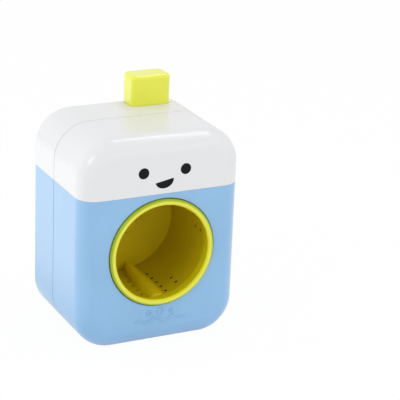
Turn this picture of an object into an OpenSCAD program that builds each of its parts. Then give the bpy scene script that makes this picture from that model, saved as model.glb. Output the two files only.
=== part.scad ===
// Toy washing machine. Pushing the button on top turns the drum through a rack and two gears.
// Millimetres, +Z up. The drum opens towards -Y and the origin is the middle of the flat base.

/* [Body] */
// Width of the body
body_w = 130; // [126:1:142]
// Depth of the body
body_d = 102; // [100:1:114]
// Height of the body without the button
body_h = 165; // [162:1:176]
// Radius of the four corners as seen from the front
corner_r = 28; // [22:1:32]
// Rounding of the front edge
front_edge_r = 14.5; // [10:0.5:16]
// Rounding of the rear edge
rear_edge_r = 10.5; // [8:0.5:12]
// Wall of the four mouldings
shell_wall = 2.4; // [2:0.1:2.8]
// Depth at which front and rear mouldings meet, from the middle
split_y = 4.5; // [0:0.5:8]
// Height at which the lower mouldings meet the caps
split_z = 121.7; // [120:0.1:126]
// Reach of the locating lips
lip_h = 3; // [2:0.5:4]
// Gap round the locating lips
lip_gap = 0.15; // [0.1:0.05:0.3]
// How far the lips stand back from the inside of the walls
lip_step = 0.1; // [0.05:0.05:0.2]
// Thickness of the inner ribs
rib_t = 1.6; // [1.2:0.1:2]
// Height of the inner ribs
rib_h = 5; // [3:0.5:7]
// Distance of the ribs in front of and behind the seam
rib_y = 22; // [16:1:28]
// Distance of the rear cap's rib behind the seam
cap_rib_y = 12; // [10:1:14]
// Radius of the drain holes in the base
drain_r = 2; // [1.5:0.1:3]
// Distance between drain holes
drain_pitch = 16; // [10:1:18]

/* [Case screws] */
// Radius of the case screws
screw_r = 1.5; // [1.2:0.1:1.7]
// Radius of their heads
screw_head_r = 2.8; // [2.4:0.1:3.2]
// Height of their heads
screw_head_h = 2; // [1.5:0.1:2.5]
// How far they reach into the front posts
screw_grip = 9; // [6:1:14]
// Floor of the tunnel that the head pulls on
tunnel_floor = 4; // [3:0.5:6]
// Wall round a screw hole
post_wall = 2.2; // [1.6:0.1:2.6]
// Gap round a screw
screw_gap = 0.1; // [0.05:0.05:0.2]
// Distance of the low screws from the side of the body
low_screw_x = 13; // [12:0.5:16]
// Height of the low screws
low_screw_z = 16; // [14:0.5:20]
// Distance of the middle screws from the side of the body
mid_screw_x = 9; // [8:0.5:12]
// How far the middle screws lie under the caps
mid_screw_drop = 13; // [10:0.5:20]
// Distance of the top screws from the side of the body
top_screw_x = 17; // [15:0.5:17]
// Distance of the top screws from the top of the body
top_screw_drop = 15; // [13:0.5:20]

/* [Drum] */
// Height of the drum's axis
drum_z = 75; // [73:0.5:75.5]
// Inner radius of the drum
drum_r = 42; // [40:0.5:42.5]
// Wall of the drum
drum_wall = 2; // [1.6:0.1:2.2]
// Room for the drive, from the drum's rear wall to the rear mouldings
drive_room = 28.6; // [27.6:0.2:30]
// Thickness of the drum's rear wall
drum_back_t = 2.2; // [2:0.1:2.6]
// Gap between the drum and the case round it
drum_gap = 0.8; // [0.6:0.1:1]
// How much narrower the mouth is than the drum, on the radius
mouth_step = 4.3; // [4:0.1:5.5]
// Width of the ring's lip
lip_w = 4.8; // [4.4:0.1:4.9]
// How far the lip stands out of the front
lip_out = 2.2; // [1.5:0.1:4]
// Gap between the lip and the front moulding
lip_hole_gap = 0.7; // [0.5:0.1:0.8]
// Rounding of the lip
lip_round = 1.8; // [1:0.1:2.1]
// Thickness of the ring's flange
flange_t = 2; // [1.6:0.1:2.4]
// Reach of the ring's collar into the drum
collar_l = 5; // [3:0.5:6]
// Thickness of the collar
collar_t = 1.8; // [1.2:0.1:2]
// Thickness of the guard rib behind the front moulding
guard_t = 1.2; // [1:0.1:1.3]
// Reach of the guard rib
guard_l = 8; // [5:0.5:12]

/* [Paddles] */
// Number of paddles
paddle_n = 3; // [2:1:3]
// Angle of the first paddle, clockwise from the top
paddle_turn = 175.5; // [170:0.5:190]
// How far a paddle stands into the drum at its rear end
paddle_h = 8; // [6:0.5:9]
// Radius of a paddle's front end
paddle_r1 = 13.6; // [12:0.1:14.5]
// Radius of a paddle's rear end
paddle_r2 = 3.4; // [3:0.1:5]
// Gap between a paddle and the drum's rear wall
paddle_end_gap = 3; // [2.5:0.5:5]
// Wall of a paddle
paddle_wall = 2; // [1.6:0.1:2.4]
// Radius of the drain holes in the drum
hole_r = 1.3; // [0.8:0.1:1.4]
// Distance between drain holes in a row
hole_pitch = 8.5; // [7:0.5:9]
// Distance of the near rows from the drum's rear wall
near_back = 19.6; // [19:0.2:21]
// Distance of the far rows from the drum's rear wall
far_back = 42.3; // [40:0.1:44]
// Angle of the near rows from the paddle's middle
near_row = 13; // [13:0.5:15]
// Angle of the far rows from the paddle's middle
far_row = 28; // [24:1:34]
// Distance of the screw pads on the rear wall from the axis
pad_ring_r = 20; // [19.5:0.5:21]
// Radius of a screw pad
pad_r = 9.5; // [6:0.5:10]
// Height of a screw pad
pad_h = 1; // [0.8:0.1:1.4]

/* [Axle] */
// Radius of the drum's axle
axle_r = 2.5; // [2:0.1:2.8]
// Depth of the flat on the axle
axle_flat = 0.6; // [0.4:0.1:0.8]
// Radius of the drum's hub
hub_r = 7.5; // [6.5:0.5:9]
// How far the hub stands into the drum
hub_h = 6; // [4:0.5:9]
// Wall of the bearing bush
bush_wall = 1.6; // [1.2:0.1:2]
// Radius of the bush's flange
bush_flange_r = 6; // [5.5:0.1:6.5]
// Thickness of the bush's flange
bush_flange_t = 1.2; // [1:0.1:1.6]
// Radius of the retaining clip
clip_r = 4.4; // [4:0.1:5]
// Thickness of the retaining clip
clip_t = 0.7; // [0.5:0.1:0.9]
// Depth of the clip's groove
groove = 0.4; // [0.3:0.05:0.5]
// Gap of a running fit, measured on the radius
run_gap = 0.06; // [0.04:0.01:0.1]
// Gap of a seated fit, measured on the radius
seat_gap = 0.05; // [0.03:0.01:0.1]
// Gap between flat faces that slide past each other
face_gap = 0.6; // [0.5:0.05:0.7]
// Gap at the end of an axle, a bush or a spigot
end_gap = 0.2; // [0.1:0.05:0.3]
// Gap on both sides of the retaining clip
clip_gap = 0.45; // [0.4:0.05:0.5]
// Radius of the washer in the hub
washer_r = 5; // [4.5:0.1:6]
// Thickness of the washer
washer_t = 0.8; // [0.6:0.1:1]
// Length of the screw in the drum's axle
axle_screw_l = 9; // [7:0.5:10]

/* [Gears] */
// Module of all gears
gear_m = 1; // [0.9:0.05:1]
// Teeth of the pinion on the drum's axle
drive_teeth = 15; // [14:1:16]
// Teeth of the wheel on the idler
wheel_teeth = 30; // [28:1:32]
// Teeth of the idler's small pinion
idler_teeth = 12; // [11:1:12]
// Gap between meshed teeth, measured along the pitch circle
tooth_gap = 0.24; // [0.16:0.02:0.4]
// Thickness of the wheel and the drive pinion
wheel_t = 5; // [4:0.5:5]
// Radius of the idler's axle
idler_r = 1.5; // [1.2:0.1:1.8]
// Gap between the gear plate and the wheel
wheel_lift = 0.8; // [0.7:0.1:1]
// Gap between the wheel and the rack
rack_lift = 1; // [0.9:0.1:1.2]
// Thickness of the gear plate
plate_t = 2; // [1.6:0.1:2.4]
// Rim of the gear plate round its screws
plate_edge = 6; // [5:0.5:7]
// Distance of the gear plate's left screws from the axis
plate_left = 26; // [24:1:28]
// Distance of its right screws from the axis
plate_right = 38; // [37:0.5:39]
// Distance of its low left screw under the axis
plate_low = 17; // [15:1:19]
// Distance of its high left screw over the axis
plate_high = 31; // [29:1:33]
// How much higher the right screws sit than the left ones
plate_rise = 5; // [4:0.5:6]
// Radius of the gear plate's screws
plate_screw_r = 1.3; // [1:0.1:1.5]
// Height of the gear plate's screw heads
plate_head_h = 1.6; // [1.2:0.1:1.8]
// How far the gear plate's screws reach into their posts
plate_grip = 8; // [6:0.5:10]
// Teeth of the ratchet
ratchet_teeth = 18; // [12:1:24]
// Inner radius of the ratchet
ratchet_r = 12.6; // [12.2:0.1:13]
// Depth of the ratchet's teeth
ratchet_depth = 1.6; // [1.2:0.1:2]
// Wall of the ratchet ring
ratchet_wall = 2.3; // [2:0.1:2.6]
// Thickness of the ratchet ring
ratchet_t = 4; // [3.5:0.1:4]
// How far the ratchet's screws reach into the drum
ratchet_grip = 2.4; // [2:0.1:2.4]
// Thickness of the pawl disc
pawl_t = 3.5; // [3:0.1:3.5]
// Gap between the pawls and the ratchet
pawl_gap = 0.7; // [0.5:0.1:1]
// Width of a pawl's arm
pawl_arm = 1.5; // [1.3:0.1:1.6]

/* [Button] */
// Width of the button
button_w = 32.7; // [31:0.1:33]
// Depth of the button
button_d = 19.2; // [18:0.1:19.4]
// Height of the button above the body
button_out = 23.7; // [20:0.1:26]
// Travel of the button
travel = 16; // [12:0.5:16]
// Place of the button to the right of the middle
button_x = 23.7; // [23:0.1:23.9]
// Distance of the button's middle from the rear of the body
button_back = 15.9; // [15.8:0.1:16.4]
// Radius of the button's corners seen from above
button_corner_r = 4; // [3.2:0.1:5]
// Rounding of the button's top edge
button_round = 3; // [2.2:0.1:4]
// Wall of the button
button_wall = 1.8; // [1.6:0.1:2]
// Gap between the button and its sleeve
button_gap = 0.35; // [0.3:0.05:0.5]
// Length of the guide sleeve under the top
sleeve_l = 5; // [4:0.5:8]
// Wall of the guide sleeve
sleeve_wall = 1.6; // [1.4:0.1:1.8]
// Thickness of the plunger's plate
plunger_t = 2; // [1.6:0.1:2.6]
// How far the plunger's plate reaches past the button
plunger_rim = 2; // [1.6:0.1:2]
// Distance of the rack to the left of the button's middle
rack_shift = 2.7; // [2.4:0.1:3]
// Width of the plunger's stem
stem_w = 8; // [7:0.1:8]
// Thickness of the plunger's stem
stem_t = 6; // [5:0.1:6]
// Length of the return spring
spring_len = 36; // [34:1:40]
// Radius of the spring's coils, to the middle of the wire
coil_r = 2.8; // [2.6:0.1:2.9]
// Radius of the spring's wire
wire_r = 0.4; // [0.3:0.05:0.4]
// Turns of the spring
coil_n = 9; // [7:1:11]
// Gap between the spring and its spigots
spring_gap = 0.3; // [0.2:0.05:0.4]
// Reach of the stem's spigot into the spring
stem_spigot = 4; // [3:0.5:5]
// Thickness of the spring's shelf
shelf_t = 3; // [2:0.5:4]
// Distance of the button's screws from its sides
button_screw_in = 5.5; // [5.3:0.1:6]
// How far the button's screws reach into it
button_screw_grip = 8; // [6:0.5:10]

/* [Hidden] */
$fn = 64;

lime = [0.86, 0.86, 0.30];
blue = [0.62, 0.77, 0.92];
white = [0.94, 0.94, 0.95];
grey = [0.80, 0.82, 0.84];
steel = [0.70, 0.71, 0.73];
bronze = [0.72, 0.56, 0.33];

// Overlap that joins pieces of one moulding, and overshoot of a cut
join = 1;

// Case
front_y = -body_d / 2;
rear_y = body_d / 2;
front_in_y = front_y + shell_wall;
rear_in_y = rear_y - shell_wall;
post_r = screw_r + screw_gap + post_wall;
tunnel_r = screw_head_r + screw_gap + post_wall;
low_screws = [[body_w / 2 - low_screw_x, low_screw_z]];
mid_screws = [[body_w / 2 - mid_screw_x, split_z - mid_screw_drop]];
top_screws = [[body_w / 2 - top_screw_x, body_h - top_screw_drop]];

// Drum, from its mouth to its rear wall
mouth_r = drum_r - mouth_step;
drum_back_y = rear_in_y - drive_room;
drum_out_r = drum_r + drum_wall;
lip_r = mouth_r + lip_w;
flange_y = front_in_y + face_gap;
tub_y = flange_y + flange_t;
tub_back_y = drum_back_y + drum_back_t;
hub_y = drum_back_y - hub_h;
collar_r = drum_r - seat_gap;
collar_in_r = collar_r - collar_t;
collar_end_y = tub_y + collar_l;
paddle_front_y = collar_end_y + end_gap;
paddle_end_y = drum_back_y - paddle_end_gap;
axle_y = hub_y + face_gap / 2;

// Layers of the drive, from the drum to the rear wall
pawl_y = tub_back_y + face_gap;
pawl_end_y = pawl_y + pawl_t;
plate_y = max(pawl_end_y, tub_back_y + ratchet_t) + face_gap;
plate_end_y = plate_y + plate_t;
wheel_y = plate_end_y + wheel_lift;
wheel_end_y = wheel_y + wheel_t;
rack_y = wheel_end_y + rack_lift;
rack_end_y = rack_y + stem_t;
clip_y = wheel_end_y + clip_gap;
bush_y = clip_y + clip_t + clip_gap;
bush_end_y = rear_in_y - shell_wall;
axle_end_y = bush_end_y - end_gap;
idler_hole_y = rear_in_y - shell_wall / 2;

// Gear places
pitch = PI * gear_m;
rack_x = button_x - rack_shift;
stem_x = rack_x + 1.15 * gear_m;
stem_back_x = button_x + stem_w / 2;
idler_x = rack_x - gear_m * idler_teeth / 2;
mesh = gear_m * (drive_teeth + wheel_teeth) / 2;
idler_z = drum_z + sqrt(mesh * mesh - idler_x * idler_x);
mesh_turn = atan2(idler_z - drum_z, idler_x);
drive_hub_r = 2.2 * axle_r;
key_r = 1.8 * axle_r;
key_flat = 1.4 * axle_r;
plate_low_z = drum_z - plate_low;
plate_high_z = drum_z + plate_high;
plate_spots = [[-plate_left, plate_low_z], [-plate_left, plate_high_z],
               [plate_right, plate_low_z + plate_rise], [plate_right, plate_high_z + plate_rise]];

// Button and plunger
button_y = rear_y - button_back;
sleeve_z = body_h - shell_wall - sleeve_l;
plunger_z = sleeve_z - 2 * seat_gap;
foot_z = idler_z - 8 * gear_m;
foot_x = rack_x - 0.4 * gear_m;
foot_h = 2.5 * gear_m;
spring_x = (foot_x + stem_back_x) / 2;
spring_y = (rack_y + rack_end_y) / 2;
seat_z = foot_z - spring_len;
spigot_r = coil_r - wire_r - spring_gap;
seat_spigot = foot_z - stem_spigot - travel - end_gap - seat_z;
button_screw_x = button_w / 2 - button_screw_in;
button_screw_y = button_y - button_d / 2 + button_screw_in;

// ---- Shapes ----

// Outline between the axis of a corner and the outside, with both outer edges rounded
module edge_profile(r, d, f0, f1) {
    translate([0, f0]) square([r, d - f0 - f1]);
    if (f0 > 0) {
        square([r - f0, f0]);
        quarter(r - f0, f0, f0, -1);
    }
    if (f1 > 0) {
        translate([0, d - f1]) square([r - f1, f1]);
        quarter(r - f1, d - f1, f1, 1);
    }
}

// Quarter of a disc round (x, y), to the right of it and above (side 1) or below it (side -1)
module quarter(x, y, r, side) {
    intersection() {
        translate([x, y]) circle(r);
        translate([x, side > 0 ? y : y - 2 * r]) square(2 * r);
    }
}

// Block with rounded corners and rounded edges at its lower end (f0) and upper end (f1)
module rounded_block(size, r, f0, f1) {
    x = size[0] / 2 - r;
    y = size[1] / 2 - r;
    translate([-x, -y, 0]) cube([2 * x, 2 * y, size[2]]);
    for (k = [0 : 3]) {
        a = k % 2 == 0 ? x : y;
        b = k % 2 == 0 ? y : x;
        rotate([0, 0, 90 * k]) {
            translate([a, b, 0]) rotate_extrude(angle = 90) edge_profile(r, size[2], f0, f1);
            translate([a, b, 0]) rotate([90, 0, 0]) linear_extrude(2 * b)
                edge_profile(r, size[2], f0, f1);
        }
    }
}

module rounded_rect(w, h, r) {
    square([w - 2 * r, h], center = true);
    square([w, h - 2 * r], center = true);
    for (x = [-1, 1], y = [-1, 1]) translate([x * (w / 2 - r), y * (h / 2 - r)]) circle(r);
}

// Extrudes an outline drawn in X and Z from y0 to y1
module along_y(y0, y1) {
    translate([0, y1, 0]) rotate([90, 0, 0]) linear_extrude(y1 - y0) children();
}

// Round bar along Y
module bar(x, z, r, y0, y1) {
    translate([x, y0, z]) rotate([-90, 0, 0]) cylinder(r = r, h = y1 - y0);
}

// Turns what is drawn round Z into the same thing round the drum's axis; heights become Y
module at_drum() {
    translate([0, 0, drum_z]) rotate([-90, 0, 0]) children();
}

// Screw along -Y whose head starts at y: the head, a shank towards lower Y and a cross slot
module screw_y(x, z, y, r, head_r, head_h, length, toward = -1) {
    translate([x, y, z]) rotate([toward > 0 ? -90 : 90, 0, 0]) difference() {
        union() {
            translate([0, 0, -head_h]) cylinder(r = head_r, h = head_h);
            cylinder(r = r, h = length);
        }
        for (a = [0, 90]) rotate([0, 0, a])
            translate([-head_r * 0.6, -head_r * 0.1, -head_h - join])
                cube([head_r * 1.2, head_r * 0.2, head_h / 2 + join]);
    }
}

// Both of a mirrored pair
module mirrored_x() {
    children();
    mirror([1, 0, 0]) children();
}

// ---- Gear teeth ----

// Angle of the involute at radius r, in degrees
function involute(r, base) = let (t = sqrt(max(0, r * r / (base * base) - 1))) t * 180 / PI - atan(t);

// Half the angle that a tooth fills at radius r
function half_tooth(n, r) = let (p = gear_m * n / 2, base = p * cos(20))
    90 / n - tooth_gap / 4 / p * 180 / PI + involute(p, base) - involute(r, base);

// Outline of a gear with a tooth at angle 0
module gear_outline(n) {
    p = gear_m * n / 2;
    base = p * cos(20);
    root = p - 1.25 * gear_m;
    tip = p + gear_m;
    start = max(base, root);
    steps = 4;
    polygon([for (i = [0 : n - 1], side = [-1, 1], k = [0 : steps + 1])
        let (
            s = side < 0 ? k : steps + 1 - k,
            r = s == 0 ? root : start + (tip - start) * (s - 1) / steps,
            a = i * 360 / n + side * half_tooth(n, max(r, start))
        ) r * [cos(a), sin(a)]]);
}

// Gear along Y with a tooth at the given turn, counted from +X towards +Z
module gear_y(n, x, z, y0, y1, turn) {
    along_y(y0, y1) translate([x, z]) rotate([0, 0, turn]) gear_outline(n);
}

// ---- Case ----

module case_solid(inset) {
    translate([0, rear_y - inset, body_h / 2]) rotate([90, 0, 0])
        rounded_block([body_w - 2 * inset, body_h - 2 * inset, body_d - 2 * inset],
                      corner_r - inset, rear_edge_r - inset, front_edge_r - inset);
}

// The space of one of the four mouldings
module region(front, lower) {
    translate([-body_w, front ? split_y - body_d : split_y, lower ? split_z - 2 * body_h : split_z])
        cube([2 * body_w, body_d, 2 * body_h]);
}

module walls(front, lower) {
    intersection() {
        difference() {
            case_solid(0);
            case_solid(shell_wall);
        }
        region(front, lower);
    }
}

// Keeps inner posts and ribs inside the walls they grow from
module inside(front, lower) {
    intersection() {
        union() children();
        region(front, lower);
        case_solid(shell_wall / 2);
    }
}

module front_outline(inset) {
    translate([0, body_h / 2])
        rounded_rect(body_w - 2 * inset, body_h - 2 * inset, corner_r - inset);
}

// Band between two insets that follows the seam between front and rear
module front_seam(inset_out, inset_in, y0, y1) {
    along_y(y0, y1) difference() {
        front_outline(inset_out);
        front_outline(inset_in);
    }
}

module top_outline(inset) {
    w = body_w - 2 * inset;
    rf = front_edge_r - inset;
    rr = rear_edge_r - inset;
    y0 = front_y + inset;
    y1 = rear_y - inset;
    translate([-w / 2, y0 + rf]) square([w, y1 - y0 - rf - rr]);
    translate([-w / 2 + rf, y0]) square([w - 2 * rf, rf]);
    translate([-w / 2 + rr, y1 - rr]) square([w - 2 * rr, rr]);
    for (x = [-1, 1]) {
        translate([x * (w / 2 - rf), y0 + rf]) circle(rf);
        translate([x * (w / 2 - rr), y1 - rr]) circle(rr);
    }
}

// Band between two insets that follows the seam under the caps
module cap_seam(inset_out, inset_in, z0, z1) {
    translate([0, 0, z0]) linear_extrude(z1 - z0) difference() {
        top_outline(inset_out);
        top_outline(inset_in);
    }
}

// Lip of the rear mouldings that reaches into the front ones
module rear_lip(lower) {
    intersection() {
        front_seam(shell_wall / 2 + lip_gap, shell_wall - lip_step, split_y - lip_h, split_y + join);
        translate([-body_w, 0, lower ? -join : split_z]) cube([2 * body_w, body_d, lower ? split_z + join : body_h]);
    }
}

module rear_lip_cut() {
    front_seam(shell_wall / 2, shell_wall + join, split_y - lip_h - lip_gap, split_y + join);
}

// Lip of a cap that reaches down into the lower moulding
module cap_lip(front) {
    intersection() {
        cap_seam(shell_wall / 2 + lip_gap, shell_wall - lip_step, split_z - lip_h, split_z + join);
        translate([-body_w, front ? -body_d + split_y - lip_h - 2 * lip_gap : split_y + join + lip_gap, 0])
            cube([2 * body_w, body_d, body_h]);
    }
}

module cap_lip_cut() {
    cap_seam(shell_wall / 2, shell_wall + join, split_z - lip_h - lip_gap, split_z + join);
}

// Rib round the inside of a moulding at depth y
module hoop_rib(y) {
    front_seam(shell_wall / 2, shell_wall + rib_h, y - rib_t / 2, y + rib_t / 2);
}

module front_posts(spots) {
    for (p = spots) mirrored_x() bar(p[0], p[1], post_r, front_y, split_y);
}

module front_post_holes(spots) {
    for (p = spots) mirrored_x()
        bar(p[0], p[1], screw_r + screw_gap, split_y - screw_grip - join, split_y + join);
}

module tunnels(spots) {
    for (p = spots) mirrored_x() bar(p[0], p[1], tunnel_r, split_y, rear_y);
}

module tunnel_holes(spots) {
    for (p = spots) mirrored_x() {
        bar(p[0], p[1], screw_r + screw_gap, split_y - join, rear_y);
        bar(p[0], p[1], screw_head_r + screw_gap, split_y + tunnel_floor, rear_y + join);
    }
}

// Row of drain holes through the base at depth y
module drain_row(y) {
    for (k = [-1.5 : 1 : 1.5])
        translate([k * drain_pitch, y, -join]) cylinder(r = drain_r, h = shell_wall + rib_h + 2 * join);
}

module front_shell() {
    color(blue) difference() {
        union() {
            walls(true, true);
            inside(true, true) {
                front_posts(low_screws);
                front_posts(mid_screws);
                hoop_rib(split_y - rib_y);
                at_drum() translate([0, 0, front_y])
                    cylinder(r = drum_out_r + drum_gap + guard_t, h = shell_wall + guard_l);
            }
        }
        at_drum() translate([0, 0, front_y - join]) cylinder(r = lip_r + lip_hole_gap, h = body_d / 2);
        at_drum() translate([0, 0, front_in_y]) cylinder(r = drum_out_r + drum_gap, h = body_d / 2);
        front_post_holes(low_screws);
        front_post_holes(mid_screws);
        rear_lip_cut();
        cap_lip_cut();
        drain_row(split_y - rib_y - drain_pitch / 2);
        drain_row(split_y - rib_y + drain_pitch / 2);
    }
}

module front_cap() {
    color(white) difference() {
        union() {
            walls(true, false);
            cap_lip(true);
            inside(true, false) {
                front_posts(top_screws);
                hoop_rib(split_y - rib_y);
            }
        }
        front_post_holes(top_screws);
        rear_lip_cut();
    }
}

// Posts, bearings, guides and the spring's shelf that carry the drive
module drive_posts() {
    for (p = plate_spots) bar(p[0], p[1], plate_screw_r + screw_gap + post_wall, plate_end_y, rear_y);
    bar(0, drum_z, axle_r + run_gap + bush_wall + seat_gap + post_wall, bush_y + bush_flange_t, rear_y);
    bar(idler_x, idler_z, idler_r + seat_gap + post_wall, rack_end_y + face_gap, rear_y);
    // Guides beside and behind the rack
    translate([stem_back_x + face_gap / 2, wheel_end_y + face_gap, foot_z + foot_h])
        cube([rib_t, rear_y - rack_y, split_z - mid_screw_drop / 2 - foot_z]);
    translate([spring_x - rib_t / 2, rack_end_y + face_gap / 2, foot_z + foot_h])
        cube([rib_t, rear_y - rack_end_y, split_z - mid_screw_drop / 2 - foot_z]);
    // Shelf with a spigot for the spring, and the web under it
    translate([spring_x - stem_w / 2 - face_gap, rack_y - face_gap, seat_z - shelf_t])
        cube([stem_w + 2 * face_gap, rear_y - rack_y, shelf_t]);
    translate([spring_x, spring_y, seat_z - shelf_t]) cylinder(r = spigot_r, h = shelf_t + seat_spigot);
    translate([spring_x - rib_t / 2, 0, 0]) rotate([90, 0, 90]) linear_extrude(rib_t)
        polygon([[rack_y, seat_z - shelf_t / 2], [rear_y, seat_z - shelf_t / 2], [rear_y, seat_z - 2 * stem_w]]);
}

module drive_post_holes() {
    for (p = plate_spots)
        bar(p[0], p[1], plate_screw_r + screw_gap, plate_end_y - join, plate_end_y + plate_grip + join);
    bar(0, drum_z, axle_r + run_gap + bush_wall + seat_gap, bush_y, bush_end_y + end_gap);
    bar(idler_x, idler_z, idler_r + seat_gap, rack_end_y, idler_hole_y);
}

module rear_shell() {
    color(blue) difference() {
        union() {
            walls(false, true);
            rear_lip(true);
            inside(false, true) {
                tunnels(low_screws);
                tunnels(mid_screws);
                hoop_rib(split_y + rib_y);
                drive_posts();
            }
        }
        tunnel_holes(low_screws);
        tunnel_holes(mid_screws);
        drive_post_holes();
        cap_lip_cut();
        drain_row(split_y + rib_y - drain_pitch / 2);
        drain_row(split_y + rib_y + drain_pitch / 2);
    }
}

module rear_cap() {
    color(white) difference() {
        union() {
            walls(false, false);
            rear_lip(false);
            cap_lip(false);
            inside(false, false) {
                tunnels(top_screws);
                hoop_rib(split_y + cap_rib_y);
                translate([button_x, button_y, sleeve_z]) linear_extrude(body_h - sleeve_z)
                    rounded_rect(button_w + 2 * (button_gap + sleeve_wall), button_d + 2 * (button_gap + sleeve_wall),
                                 button_corner_r + button_gap + sleeve_wall);
            }
        }
        tunnel_holes(top_screws);
        translate([button_x, button_y, sleeve_z - join]) linear_extrude(body_h)
            rounded_rect(button_w + 2 * button_gap, button_d + 2 * button_gap, button_corner_r + button_gap);
    }
}

module case_screws() {
    color(steel) for (p = concat(low_screws, mid_screws, top_screws)) mirrored_x()
        screw_y(p[0], p[1], split_y + tunnel_floor, screw_r, screw_head_r, screw_head_h, tunnel_floor + screw_grip);
}

// ---- Drive, fixed pieces ----

module gear_plate() {
    h = plate_high_z + plate_rise - plate_low_z;
    color(grey) difference() {
        union() {
            along_y(plate_y, plate_end_y)
                translate([(plate_right - plate_left) / 2, plate_low_z + h / 2])
                    rounded_rect(plate_left + plate_right + 2 * plate_edge, h + 2 * plate_edge, plate_edge);
            bar(idler_x, idler_z, idler_r + seat_gap + rib_t, plate_y, plate_end_y + wheel_lift / 2);
        }
        bar(0, drum_z, drive_hub_r + run_gap, plate_y - join, plate_end_y + join);
        bar(idler_x, idler_z, idler_r + seat_gap, plate_y - join, plate_end_y + join);
        for (p = plate_spots) bar(p[0], p[1], plate_screw_r + screw_gap, plate_y - join, plate_end_y + join);
    }
}

module plate_screws() {
    color(steel) for (p = plate_spots)
        screw_y(p[0], p[1], plate_y, plate_screw_r, 2 * plate_screw_r, plate_head_h, plate_t + plate_grip, 1);
}

module idler_axle() {
    color(steel) bar(idler_x, idler_z, idler_r, plate_y, idler_hole_y - end_gap);
}

module rear_bush() {
    r = axle_r + run_gap;
    color(bronze) difference() {
        union() {
            bar(0, drum_z, bush_flange_r, bush_y, bush_y + bush_flange_t);
            bar(0, drum_z, r + bush_wall, bush_y, bush_end_y);
        }
        bar(0, drum_z, r, bush_y - join, bush_end_y + join);
    }
}

// ---- Drum ----

// Turns children to each paddle, with the paddle on the local X axis
module at_paddles() {
    for (k = [0 : paddle_n - 1]) rotate([0, 0, paddle_turn - 90 + k * 360 / paddle_n]) children();
}

// A paddle is a leaning cone with a round rear end, carried down to the wall. Its crest rises from
// the ring's collar to its full height at the rear. The same form, smaller by inset, is its hollow.
module paddle_form(inset) {
    front = collar_in_r + paddle_r1;
    rear = drum_r - paddle_h + paddle_r2;
    len = paddle_end_y - paddle_r2 - paddle_front_y;
    lean = atan2(front - rear, len);
    translate([front, 0, paddle_front_y]) rotate([0, -lean, 0]) {
        cylinder(r1 = paddle_r1 - inset, r2 = paddle_r2 - inset, h = len / cos(lean));
        rotate([0, 90, 0]) linear_extrude(drum_out_r)
            polygon([[0, inset - paddle_r1], [0, paddle_r1 - inset],
                     [-len / cos(lean), paddle_r2 - inset], [-len / cos(lean), inset - paddle_r2]]);
        translate([0, 0, len / cos(lean)]) {
            sphere(paddle_r2 - inset);
            rotate([0, 90, 0]) cylinder(r = paddle_r2 - inset, h = drum_out_r);
        }
    }
}

// A paddle, clipped to the inside of the drum behind the ring's collar
module paddle() {
    intersection() {
        paddle_form(0);
        translate([0, 0, paddle_front_y]) cylinder(r = drum_r + drum_wall / 2, h = drum_back_y - paddle_front_y);
    }
}

// The hollow on the outside of the drum under a paddle
module paddle_hollow() {
    intersection() {
        paddle_form(paddle_wall);
        translate([0, 0, paddle_front_y + paddle_wall])
            cylinder(r = drum_out_r + drum_gap, h = drum_back_y - paddle_front_y - 2 * paddle_wall);
    }
}

// Rows of drain holes on both sides of a paddle
module drum_holes() {
    rows = [[-near_row, near_back, 5], [near_row, near_back + 0.65 * hole_pitch, 4],
            [-far_row, far_back, 2], [far_row, far_back, 2]];
    for (row = rows, k = [0 : row[2] - 1]) rotate([0, 0, row[0]])
        translate([drum_r - join, 0, drum_back_y - row[1] - k * hole_pitch]) rotate([0, 90, 0])
            cylinder(r = hole_r, h = drum_wall + 2 * join);
}

// Bore with a flat for the axle's front end
module axle_bore(gap, z0, z1) {
    difference() {
        translate([0, 0, z0]) cylinder(r = axle_r + gap, h = z1 - z0);
        translate([-axle_r - join, axle_r - axle_flat + gap, z0 - join])
            cube([2 * axle_r + 2 * join, axle_r, z1 - z0 + 2 * join]);
    }
}

module drum_tub() {
    color(lime) at_drum() difference() {
        union() {
            difference() {
                translate([0, 0, tub_y]) cylinder(r = drum_out_r, h = tub_back_y - tub_y);
                translate([0, 0, tub_y - join]) cylinder(r = drum_r, h = drum_back_y - tub_y + join);
            }
            translate([0, 0, hub_y]) cylinder(r = hub_r, h = hub_h + drum_back_t / 2);
            at_paddles() {
                paddle();
                translate([pad_ring_r, 0, drum_back_y - pad_h]) cylinder(r = pad_r, h = pad_h + drum_back_t / 2);
            }
        }
        at_paddles() {
            paddle_hollow();
            drum_holes();
            translate([pad_ring_r, 0, tub_back_y - ratchet_grip - end_gap])
                cylinder(r = plate_screw_r + screw_gap, h = ratchet_grip + end_gap + join);
        }
        axle_bore(seat_gap, hub_y - join, tub_back_y + join);
    }
}

module drum_ring() {
    lip_y = front_y - lip_out;
    edge = [mouth_r + lip_round, lip_y + lip_round];
    reach = [collar_in_r, collar_end_y] - edge;
    flare = asin(lip_round / norm(reach)) + atan2(reach[0], reach[1]);
    color(lime) at_drum() rotate_extrude() {
        // The inner wall leaves the rounded edge at a tangent and flares to the collar's rear end
        polygon([[lip_r, edge[1]], [lip_r, flange_y], [drum_out_r, flange_y], [drum_out_r, tub_y],
                 [collar_r, tub_y], [collar_r, collar_end_y], [collar_in_r, collar_end_y],
                 edge + lip_round * [-cos(flare), sin(flare)], edge - [0, lip_round / 2]]);
        translate([edge[0], lip_y]) square([lip_w - 2 * lip_round, lip_round]);
        quarter(lip_r - lip_round, edge[1], lip_round, -1);
        translate(edge) intersection() {
            circle(lip_round);
            polygon(2 * lip_round * [[0, 0], [-1, tan(flare)], [-1, -1], [0, -1]]);
        }
    }
}

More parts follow.
